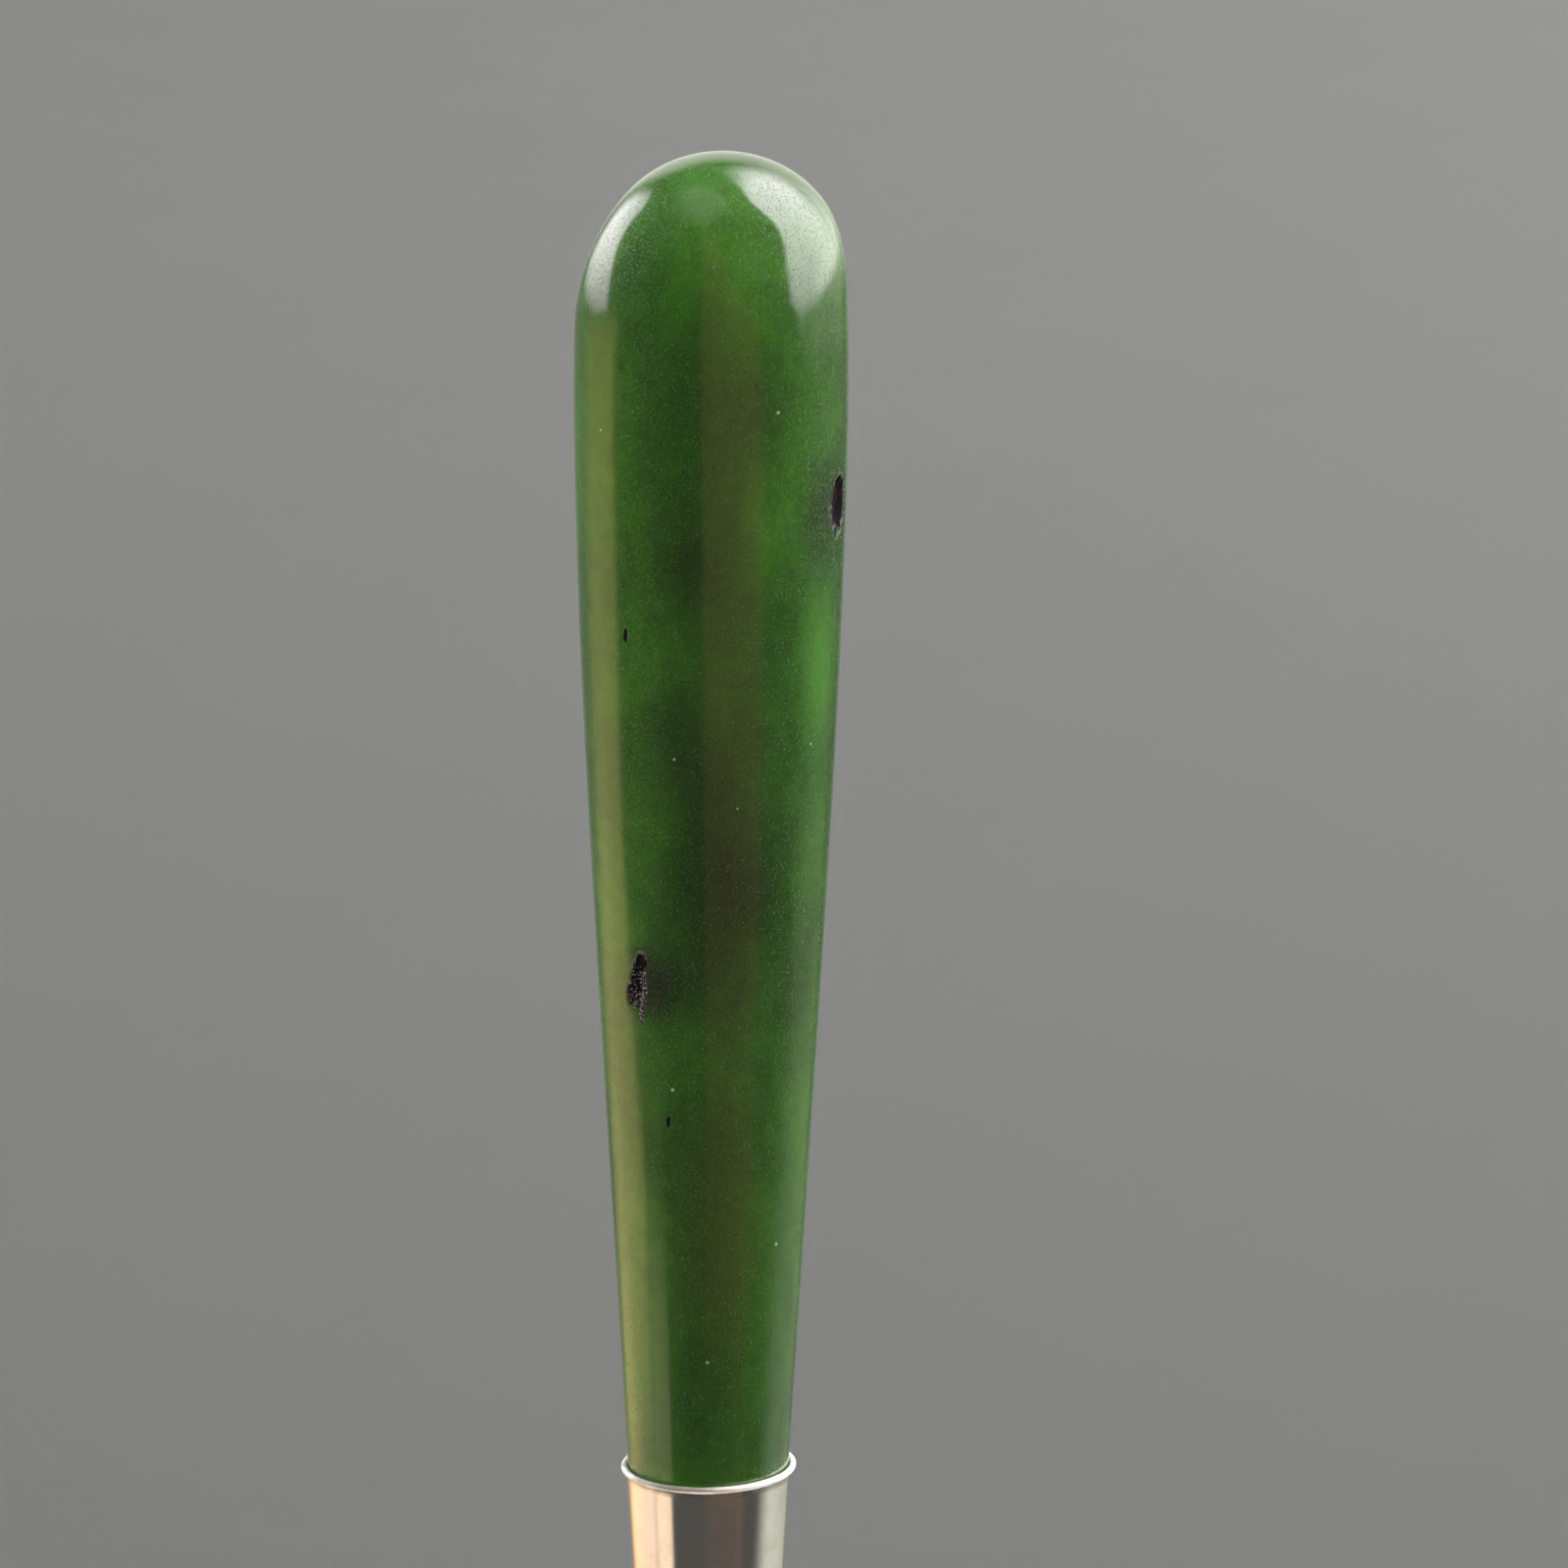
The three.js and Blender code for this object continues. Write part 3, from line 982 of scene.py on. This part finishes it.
    def build(self) -> list[Object]:
        """Builds and mounts the stone and the crystals in its pits.

        Returns:
            The pieces.
        """
        nephrite = Nephrite().make(self.clouds())
        dome = self.top_height - self.widest_height
        head = self.lathe.turn(
            "polished_nephrite_head", self.outline(), nephrite, sides=self.sides, lean_mm=self.lean,
            lean_from_mm=self.widest_height + dome * self.lean_start,
            lean_to_mm=self.widest_height + dome * self.lean_end,
        )
        sinker = pit_tree()
        for pit in self.pits:
            apply_tree(head, sinker, self.bounds(pit) | {
                "Depth": pit.depth_mm * MM, "Raggedness": self.raggedness,
                "Grain": self.edge_grain_mm * MM, "Material": nephrite,
            })
        finish_mesh(head)
        crystals = self.crystals(head)
        return [mount(head, "nephrite", "nephrite_head"), mount(crystals, "nephrite")]

    def crystals(self, head: Object) -> Object:
        """Scatters the crystals over the pits that show them.

        Args:
            head: the stone, with its pits.

        Returns:
            One object that holds every crystal.
        """
        scatter = crystal_tree()
        mineral = Mineral().make()
        joined = bmesh.new()
        for seed, pit in enumerate(self.pits, start=1):
            if not pit.crystals:
                continue
            nest = new_object("crystal_nest", head.data.copy())
            apply_tree(nest, scatter, self.bounds(pit) | {
                "Crystal Size": self.crystal_mm * MM, "Density": pit.crystals / MM**2,
                "Seed": seed, "Material": mineral,
            })
            joined.from_mesh(nest.data)
            bpy.data.objects.remove(nest)
        mesh = bpy.data.meshes.new("mineral_crystals")
        joined.to_mesh(mesh)
        joined.free()
        mesh.materials.append(mineral)
        crystals = new_object("mineral_crystals", mesh)
        finish_mesh(crystals, crease_deg=5.0)
        return crystals


@dataclass
class Ferrule:
    """The tapered silver sleeve, the wire at each end of it and the disc that closes its foot."""

    lathe: Lathe
    mouth_radius: float = 3.68
    foot_radius: float = 2.45
    length: float = 19.0
    wall: float = 0.3
    edge: float = 0.06
    rim_wire_radius: float = 0.15
    rim_ring_radius: float = 3.73
    rim_height: float = 0.16
    foot_wire_radius: float = 0.22
    foot_ring_radius: float = 2.77
    foot_height: float = -18.8
    disc_top: float = -19.05
    disc_thickness: float = 0.5
    disc_radius: float = 2.7
    hole_radius: float = 1.05
    sides: int = 256

    def sleeve_outline(self) -> list[Point]:
        """Draws the sleeve.

        Returns:
            Its outline, closed on itself.
        """
        foot = -self.length
        start = (self.mouth_radius - self.wall / 2, 0.0)
        corners = [
            start, (self.mouth_radius - self.wall, 0.0), (self.foot_radius - self.wall, foot),
            (self.foot_radius, foot), (self.mouth_radius, 0.0), start,
        ]
        return softened(corners, self.edge)

    def wire_outline(self, ring: float, wire: float, height: float, corners: int = 24) -> list[Point]:
        """Finds the round section of a ring of wire.

        Args:
            ring: the radius of the ring's middle line.
            wire: the wire's own radius.
            height: the ring's height above the mouth.
            corners: how many points the section has.

        Returns:
            The section's outline, closed on itself.
        """
        turns = [math.tau * (k % corners) / corners for k in range(corners + 1)]
        return [(ring + wire * math.cos(turn), height + wire * math.sin(turn)) for turn in turns]

    def disc_outline(self) -> list[Point]:
        """Draws the end disc.

        Returns:
            Its outline, closed on itself.
        """
        under = self.disc_top - self.disc_thickness
        start = ((self.hole_radius + self.disc_radius) / 2, self.disc_top)
        corners = [
            start, (self.hole_radius, self.disc_top), (self.hole_radius, under), (self.disc_radius, under),
            (self.disc_radius, self.disc_top), start,
        ]
        return softened(corners, self.edge * 2)

    def build(self) -> list[Object]:
        """Builds and mounts the ferrule's pieces.

        Returns:
            The pieces.
        """
        at = self.lathe.datum.at
        silver = SterlingSilver(
            "silver_ferrule", Polish.ROUND, crevices=((at(-0.05), 0.3), (at(-self.length + 0.3), 0.9))
        ).make()
        wire = SterlingSilver(
            "silver_wire", Polish.ROUND, bright="f6f4ef", warm="ece7dd", roughness=0.6
        ).make()
        rim = self.wire_outline(self.rim_ring_radius, self.rim_wire_radius, self.rim_height)
        foot = self.wire_outline(self.foot_ring_radius, self.foot_wire_radius, self.foot_height)
        turn = self.lathe.turn
        return [
            mount(turn(name, outline, finish, self.sides), "silver", node)
            for name, outline, finish, node in (
                ("silver_sleeve", self.sleeve_outline(), silver, "ferrule_sleeve"),
                ("silver_rim_wire", rim, wire, "rim_wire"),
                ("silver_foot_wire", foot, wire, "foot_wire"),
                ("silver_end_disc", self.disc_outline(), silver, "ferrule_end_disc"),
            )
        ]


@dataclass
class Knop:
    """The turned bead between the ferrule and the stem, between two fillets and two hollows."""

    lathe: Lathe
    top: float = -19.6
    height: float = 3.4
    bead_radius: float = 2.35
    fillet_radius: float = 1.85
    fillet_height: float = 0.45
    cove_radius: float = 1.5
    hole_radius: float = 1.05
    arc_steps: int = 24

    def arc(self, inner: float, outer: float, middle: float, half: float) -> list[Point]:
        """Finds a half-round bulge that faces outwards, from its lower end to its upper.

        Args:
            inner: the radius at its ends.
            outer: the radius at its middle.
            middle: the height of its middle.
            half: half its height.

        Returns:
            The bulge's points.
        """
        turns = [math.pi * (k / self.arc_steps - 0.5) for k in range(self.arc_steps + 1)]
        return [
            (inner + (outer - inner) * math.cos(turn), middle + half * math.sin(turn)) for turn in turns
        ]

    def outline(self) -> list[Point]:
        """Draws the knop.

        Returns:
            Its outline, closed on itself.
        """
        under = self.top - self.height
        half_fillet = self.fillet_height / 2
        lower = self.arc(self.cove_radius, self.fillet_radius, under + half_fillet, half_fillet)
        upper = self.arc(self.cove_radius, self.fillet_radius, self.top - half_fillet, half_fillet)
        bead_half = self.height / 2 - 1.5 * self.fillet_height
        bead = self.arc(self.cove_radius, self.bead_radius, self.top - self.height / 2, bead_half)
        return [
            (self.hole_radius, self.top), (self.hole_radius, under), *lower, *bead, *upper,
            (self.hole_radius, self.top),
        ]

    def build(self) -> list[Object]:
        """Builds and mounts the knop.

        Returns:
            The piece.
        """
        at = self.lathe.datum.at
        # tarnish stays where the bead meets each fillet
        grooves = (self.top - 1.375 * self.fillet_height, self.top - self.height + self.fillet_height)
        silver = SterlingSilver(
            "silver_knop", Polish.ROUND, crevices=tuple((at(groove), 0.35) for groove in grooves)
        ).make()
        return [mount(self.lathe.turn("silver_knop", self.outline(), silver), "silver", "collar_knop")]


@dataclass
class Stem:
    """The tapered stem with its rounded nose, and the grooved tang above it."""

    lathe: Lathe
    top: float = -23.05
    top_radius: float = 1.6
    end_radius: float = 1.0
    nose: float = 5.0
    tang_radius: float = 1.0
    tang_top: float = 12.5
    grooves: int = 4
    groove_low: float = -17.0
    groove_high: float = 10.5
    groove_depth: float = 0.15
    groove_width: float = 0.8
    nose_steps: int = 32
    taper_steps: int = 60

    def outline(self) -> list[Point]:
        """Draws the stem.

        Returns:
            Its outline from the tip, up the outside, to the top of the tang.
        """
        datum = self.lathe.datum
        tip = (datum.tip - datum.mouth) / MM
        nose_top = tip + self.nose
        turns = [math.pi / 2 * k / self.nose_steps for k in range(self.nose_steps)]
        outline = [
            (self.end_radius * math.sin(turn), nose_top - self.nose * math.cos(turn)) for turn in turns
        ]
        for k in range(self.taper_steps):
            share = k / self.taper_steps
            radius = self.end_radius + (self.top_radius - self.end_radius) * share
            outline.append((radius, nose_top + (self.top - nose_top) * share))
        shoulder = [outline[-1], (self.top_radius, self.top), (self.tang_radius, self.top)]
        outline += softened(shoulder, 0.15)[1:]
        for k in range(self.grooves):
            middle = self.groove_low + (self.groove_high - self.groove_low) * k / (self.grooves - 1)
            outline += [
                (self.tang_radius, middle - self.groove_width / 2),
                (self.tang_radius - self.groove_depth, middle),
                (self.tang_radius, middle + self.groove_width / 2),
            ]
        return outline + [(self.tang_radius, self.tang_top), (0.0, self.tang_top)]

    def build(self) -> list[Object]:
        """Builds and mounts the stem.

        Returns:
            The piece.
        """
        silver = SterlingSilver(
            "silver_stem", Polish.ALONG, haze_mm=2.2, crevices=((self.lathe.datum.at(self.top), 0.6),)
        ).make()
        return [mount(self.lathe.turn("silver_stem", self.outline(), silver), "silver", "stem")]


@dataclass
class Setting:
    """The shellac that holds the stone on the tang and in the ferrule."""

    lathe: Lathe
    tang_hole: float = 1.05
    tang_top: float = 12.55
    foot: float = -19.0
    foot_radius: float = 2.1
    step: float = -7.05
    step_radius: float = 2.87
    bore_radius: float = 1.45
    bore_top: float = 13.95

    def outline(self) -> list[Point]:
        """Draws the cement.

        Returns:
            Its outline from the axis, over the tang and back to the axis.
        """
        return [
            (0.0, self.tang_top), (self.tang_hole, self.tang_top), (self.tang_hole, self.foot),
            (self.foot_radius, self.foot), (self.step_radius, self.step), (self.bore_radius, self.step),
            (self.bore_radius, self.bore_top), (0.0, self.bore_top),
        ]

    def build(self) -> list[Object]:
        """Builds and mounts the cement.

        Returns:
            The piece.
        """
        piece = self.lathe.turn("shellac_setting", self.outline(), Shellac().make(), sides=96)
        return [mount(piece, "cement", "setting_cement")]


# ------------------------------------------------------------------------------------------------- the studio


@dataclass(frozen=True)
class Band:
    """One level of a glowing card, as seen from the stone.

    Attributes:
        height: its elevation in degrees.
        left: the azimuth of its left end in degrees, from the front (-Y) and positive towards +X.
        right: the azimuth of its right end.
        radiance: how bright it is.
        colour: its sRGB colour, if it isn't the card's.
    """

    height: float
    left: float
    right: float
    radiance: float
    colour: str = ""


@dataclass(frozen=True)
class Card:
    """A glowing screen on a large sphere round the stone, which shows only as a reflection in the polish.

    Attributes:
        name: what it is.
        colour: its sRGB colour.
        soft_left: how many degrees its left end takes to fade out.
        soft_right: how many degrees its right end takes to fade out.
        bands: its levels, from the lowest to the highest. Between them everything changes evenly.
    """

    name: str
    colour: str
    soft_left: float
    soft_right: float
    bands: tuple[Band, ...]

    def levels(self, steps: int = 5) -> list[tuple[float, float, float, Vector]]:
        """Divides the bands more finely.

        Args:
            steps: how many levels go between two bands.

        Returns:
            The elevation, left and right azimuth and glowing colour of each level.
        """
        levels = []
        for low, high in zip(self.bands, self.bands[1:]):
            for k in range(steps + (high is self.bands[-1])):
                share = k / steps
                ends = zip((low.height, low.left, low.right), (high.height, high.left, high.right))
                glow = [
                    Vector(linear(band.colour or self.colour)[:3]) * band.radiance for band in (low, high)
                ]
                levels.append((*(a + (b - a) * share for a, b in ends), glow[0].lerp(glow[1], share)))
        return levels

    def fade(self, azimuth: float, left: float, right: float) -> float:
        """Fades a level out towards its ends.

        Args:
            azimuth: a place on the level, in degrees.
            left: the azimuth of its left end.
            right: the azimuth of its right end.

        Returns:
            How much of its glow the level keeps there, from 0 to 1.
        """
        shares = ((azimuth - left) / self.soft_left, (right - azimuth) / self.soft_right)
        share = min(1.0, max(0.0, min(shares)))
        return share * share * (3 - 2 * share)


@dataclass
class Studio:
    """The camera, the floor and the lights, none of which belong to the pin."""

    datum: Datum
    aim_height: float = 31.3
    distance: float = 420.0
    elevation: float = 13.8
    side_step: float = 3.22
    roll: float = 0.25
    lens: float = 221.0
    card_radius: float = 1.5
    floor_radius: float = 5.0
    cards: tuple[Card, ...] = (
        Card("window_right", "fff7fc", soft_left=6.0, soft_right=48.0, bands=(
            Band(-7, 80, 98, 0.0, "fbf8fa"), Band(-4, 73, 150, 3.4, "fbf8fa"),
            Band(-1, 67, 162, 5.2, "fbf8fa"), Band(6, 65, 164, 6.2, "fbf8fa"),
            Band(15, 64, 162, 7.0, "fdf8fb"), Band(27, 67, 162, 8.0), Band(46, 71, 184, 9.2),
            Band(57, 71, 188, 9.8), Band(68, 77, 178, 9.8), Band(72, 87, 168, 9.0), Band(77, 112, 138, 0.0),
        )),
        Card("window_left", "fdf3fb", soft_left=14.0, soft_right=7.0, bands=(
            Band(-3, -165, -118, 0.0), Band(2, -161, -97, 2.8), Band(8, -160, -101, 4.6),
            Band(14, -158, -107, 5.9), Band(20, -155, -114, 5.9), Band(27, -150, -118, 5.4),
            Band(34, -145, -119, 4.2), Band(38, -139, -124, 0.0),
        )),
        Card("warm_wall", "ffdfcb", soft_left=42.0, soft_right=10.0, bands=(
            Band(-38, -168, -77, 1.2), Band(-25, -168, -77, 1.22), Band(-23.9, -168, -77, 1.28, "ffddc4"),
            Band(-22.8, -168, -77, 1.45, "ffddb4"), Band(-22.3, -167, -73, 1.9, "ffcf9e"),
            Band(-20.5, -166, -83, 1.75, "ffd8a0"), Band(-18.5, -160, -88, 1.5, "ffe09e"),
            Band(-15, -148, -84, 1.3, "ffe49c"), Band(-11, -140, -85, 1.3, "ffdc90"),
            Band(-5, -136, -80, 1.1, "ffdc90"), Band(0, -132, -80, 0.7, "f6e4a0"),
            Band(4, -128, -84, 0.0, "f6e4a0"),
        )),
        Card("warm_table", "ffdfb0", soft_left=10.0, soft_right=6.0, bands=(
            Band(-38, -85.5, -51, 1.35, "ffe1cb"), Band(-24, -85.5, -51, 1.4, "ffe1c4"),
            Band(-23.4, -85.5, -58, 1.5, "ffdfb8"), Band(-22.9, -84, -66, 1.3), Band(-22.5, -83, -70, 0.0),
        )),
        Card("pale_corner", "dcf0cc", soft_left=18.0, soft_right=16.0, bands=(
            Band(-19, -168, -108, 0.0), Band(-14, -166, -106, 0.12, "dcf0c4"),
            Band(0, -162, -104, 0.2, "dcf0c4"), Band(4, -160, -104, 0.0),
        )),
        Card("brown_coat", "b8845c", soft_left=3.0, soft_right=9.0, bands=(
            Band(-38, 40, 57, 0.05, "b8906c"), Band(-24.9, 40, 57, 0.05, "b8906c"),
            Band(-24.3, -4, 56, 0.35, "b8704c"), Band(-16, -8, 52, 0.85), Band(-8, -9, 47, 0.85),
            Band(0, -10, 40, 0.85), Band(10, -12, 25, 0.85), Band(22, -15, 16, 0.85),
            Band(36, -19, 8, 0.95), Band(50, -27, -7, 0.9), Band(57, -34, -13, 0.7),
            Band(63, -38, -18, 0.0),
        )),
        Card("pale_wall", "e8ecd4", soft_left=28.0, soft_right=22.0, bands=(
            Band(-38, 65, 174, 0.97, "e8eae0"), Band(-24, 72, 174, 0.97, "e8eae0"),
            Band(-22.5, 76, 170, 0.78, "e6e8da"), Band(-21, 80, 164, 0.56, "e4e8cc"),
            Band(-15, 84, 148, 0.12, "e0e8b8"), Band(-10, 84, 152, 0.15, "e4eac8"), Band(-7, 78, 160, 0.9),
            Band(-3, 78, 164, 1.2), Band(2, 84, 164, 0.8), Band(6, 86, 160, 0.0),
        )),
        Card("back_wall", "f6f2ec", soft_left=10.0, soft_right=14.0, bands=(
            Band(-9, 148, 198, 0.05), Band(-3, 142, 200, 0.7), Band(4, 138, 204, 1.2),
            Band(12, 140, 208, 1.4), Band(30, 146, 212, 1.4), Band(42, 150, 208, 0.0),
        )),
        Card("ceiling", "f2f2e8", soft_left=35.0, soft_right=50.0, bands=(
            Band(54, -150, 0, 0.0), Band(66, -155, 10, 1.0), Band(89, -170, 60, 1.0),
        )),
        Card("table", "f6f2ec", soft_left=4.0, soft_right=4.0, bands=(
            Band(-89, -182, 182, 1.3), Band(-50, -182, 182, 1.2), Band(-42, -182, 182, 0.0),
        )),
        Card("back_paper", "f4f4f2", soft_left=14.0, soft_right=14.0, bands=(
            Band(-50, 152, 208, 0.2), Band(2, 152, 208, 0.22), Band(8, 152, 208, 0.0),
        )),
    )

    def build(self, pin: list[Object]) -> None:
        """Builds the studio round the pin.

        Args:
            pin: the pin's pieces, which the lamps over the pin light.
        """
        aim = Vector((0.0, 0.0, self.datum.at(self.aim_height)))
        self.camera(aim)
        floor = self.floor()
        for card in self.cards:
            self.screen(card, aim)
        self.lamp(
            "over_floor", [floor], Vector((1.5, 1.35, 0.83)), Vector((0.1, 0.8, 0.0)), size=0.5, watts=15.0
        )
        below, above = Vector((0.2, -0.65, 0.0)), Vector((0.2, -0.65, 1.3))
        self.lamp("round_foot", [floor], above, below, size=0.5, watts=3.6, spread=62.0)
        self.lamp("over_pin", pin, aim + Vector((0.3, -0.2, 1.4)), aim, size=0.8, watts=26.0)
        self.lamp("right_of_pin", pin, aim + Vector((1.4, -0.25, 0.4)), aim, size=0.8, watts=28.0)
        self.lamp("left_of_pin", pin, aim + Vector((-1.4, -0.25, 0.25)), aim, size=0.8, watts=27.0)
        self.world()
        bpy.context.scene.view_settings.view_transform = "Standard"

    def camera(self, aim: Vector) -> None:
        """Makes the camera.

        Args:
            aim: the point on the pin's axis that the camera passes one side step from.
        """
        rise = math.radians(self.elevation)
        data = bpy.data.cameras.new("camera")
        data.lens = self.lens
        data.clip_start, data.clip_end = 0.01, 50.0
        camera = new_object("camera", data)
        back = Vector((0.0, -math.cos(rise), math.sin(rise)))
        camera.location = aim + back * self.distance * MM + Vector((self.side_step * MM, 0.0, 0.0))
        facing = (-back).to_track_quat("-Z", "Y")
        facing.rotate(Quaternion(back, math.radians(self.roll)))
        camera.rotation_euler = facing.to_euler()
        bpy.context.scene.camera = camera

    def floor(self) -> Object:
        """Makes a round floor that sweeps up into a wall far behind everything.

        Returns:
            The floor.
        """
        sweep, wall, sides, steps = 1.5, 4.0, 96, 12
        reach, ground = self.floor_radius, self.datum.tip
        shape = bmesh.new()
        flat = [(reach * share, ground) for share in (0.02, 0.1, 0.3, 0.6, 1.0)]
        turns = [math.pi / 2 * k / steps for k in range(1, steps + 1)]
        bend = [(reach + sweep * math.sin(t), ground + sweep * (1 - math.cos(t))) for t in turns]
        section = flat + bend + [(reach + sweep, ground + wall)]
        rings = []
        for radius, height in section:
            turns = [math.tau * k / sides for k in range(sides)]
            rings.append(
                [shape.verts.new((radius * math.cos(t), radius * math.sin(t), height)) for t in turns]
            )
        shape.faces.new(rings[0])
        for inner, outer in zip(rings, rings[1:]):
            for k in range(sides):
                shape.faces.new((inner[k], outer[k], outer[(k + 1) % sides], inner[(k + 1) % sides]))
        for face in shape.faces:
            face.smooth = True
        mesh = bpy.data.meshes.new("floor")
        shape.to_mesh(mesh)
        shape.free()
        mesh.materials.append(StudioPaper().make())
        floor = new_object("floor", mesh)
        floor.visible_diffuse = floor.visible_glossy = False
        floor.visible_transmission = floor.visible_shadow = False
        return floor

    def screen(self, card: Card, aim: Vector) -> None:
        """Makes one card as a patch of a sphere that adds its glow to whatever lies behind it.

        Args:
            card: what to make.
            aim: the middle of the sphere.
        """
        across = 40
        shape = bmesh.new()
        glow_layer = shape.verts.layers.float_color.new("glow")
        grid = []
        for height, left, right, glow in card.levels():
            rise = math.radians(height)
            row = []
            for k in range(across + 1):
                azimuth = left + (right - left) * k / across
                turn = math.radians(azimuth)
                level = math.cos(rise)
                way = Vector((math.sin(turn) * level, -math.cos(turn) * level, math.sin(rise)))
                vertex = shape.verts.new(aim + way * self.card_radius)
                vertex[glow_layer] = (*(glow * card.fade(azimuth, left, right)), 1.0)
                row.append(vertex)
            grid.append(row)
        for low, high in zip(grid, grid[1:]):
            for k in range(across):
                shape.faces.new((low[k], low[k + 1], high[k + 1], high[k]))
        mesh = bpy.data.meshes.new(card.name)
        shape.to_mesh(mesh)
        shape.free()

        material, tree = new_material(card.name)
        glow = add(tree, "Attribute", attribute_name="glow").outputs["Color"]
        emission = add(tree, "Emission", {"Color": glow})
        clear = add(tree, "BsdfTransparent")
        both = add(tree, "AddShader", {0: emission, 1: clear})
        add(tree, "OutputMaterial", {"Surface": both})
        material.cycles.emission_sampling = "NONE"
        mesh.materials.append(material)

        screen = new_object(card.name, mesh)
        screen.visible_camera = screen.visible_diffuse = screen.visible_shadow = False

    def lamp(
        self, name: str, lit: list[Object], place: Vector, target: Vector, size: float, watts: float,
        spread: float = 180.0,
    ) -> None:
        """Makes a round soft light that lights only some objects and doesn't show in the polish.

        Args:
            name: its name.
            lit: what it lights.
            place: where it is.
            target: what it points at.
            size: its diameter in metres.
            watts: its power.
            spread: the angle of its beam in degrees.
        """
        objects = bpy.data.collections.new(name)
        for piece in lit:
            objects.objects.link(piece)
        data = bpy.data.lights.new(name, "AREA")
        data.shape, data.size, data.energy, data.spread = "DISK", size, watts, math.radians(spread)
        light = new_object(name, data)
        light.location = place
        light.rotation_euler = (target - place).to_track_quat("-Z", "Y").to_euler()
        light.visible_camera = light.visible_glossy = False
        light.light_linking.receiver_collection = objects

    def world(self) -> None:
        """Makes the dim room: darker below the horizon than above it."""
        world = bpy.data.worlds.new("room")
        world.use_nodes = True
        tree = world.node_tree
        tree.nodes.clear()
        way = add(tree, "TexCoord").outputs["Generated"]
        height = add(tree, "SeparateXYZ", {"Vector": way}).outputs["Z"]
        share = add(tree, "MapRange", {
            "Value": height, "From Min": -0.1, "From Max": 0.5,
        }, interpolation_type="SMOOTHSTEP")
        tone = add(tree, "Mix", {
            "Factor": share, 6: linear("595957"), 7: linear("5f605e"),
        }, data_type="RGBA").outputs[2]
        background = add(tree, "Background", {"Color": tone})
        add(tree, "OutputWorld", {"Surface": background})
        bpy.context.scene.world = world


def main() -> None:
    """Builds the pin round the frame, then the studio round the pin."""
    logging.basicConfig(level=logging.INFO, format="%(message)s")
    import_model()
    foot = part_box("ferrule_sleeve")[0].z
    datum = Datum(mouth=foot + Ferrule.length * MM, tip=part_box("stem")[0].z)
    lathe = Lathe(datum)
    pieces: list[Object] = []
    for assembly in (NephriteHead(lathe), Setting(lathe), Ferrule(lathe), Knop(lathe), Stem(lathe)):
        made = assembly.build()
        log.info("%s: %s", type(assembly).__name__, ", ".join(piece.name for piece in made))
        pieces += made
    Studio(datum).build(pieces)


if __name__ == "__main__":
    main()
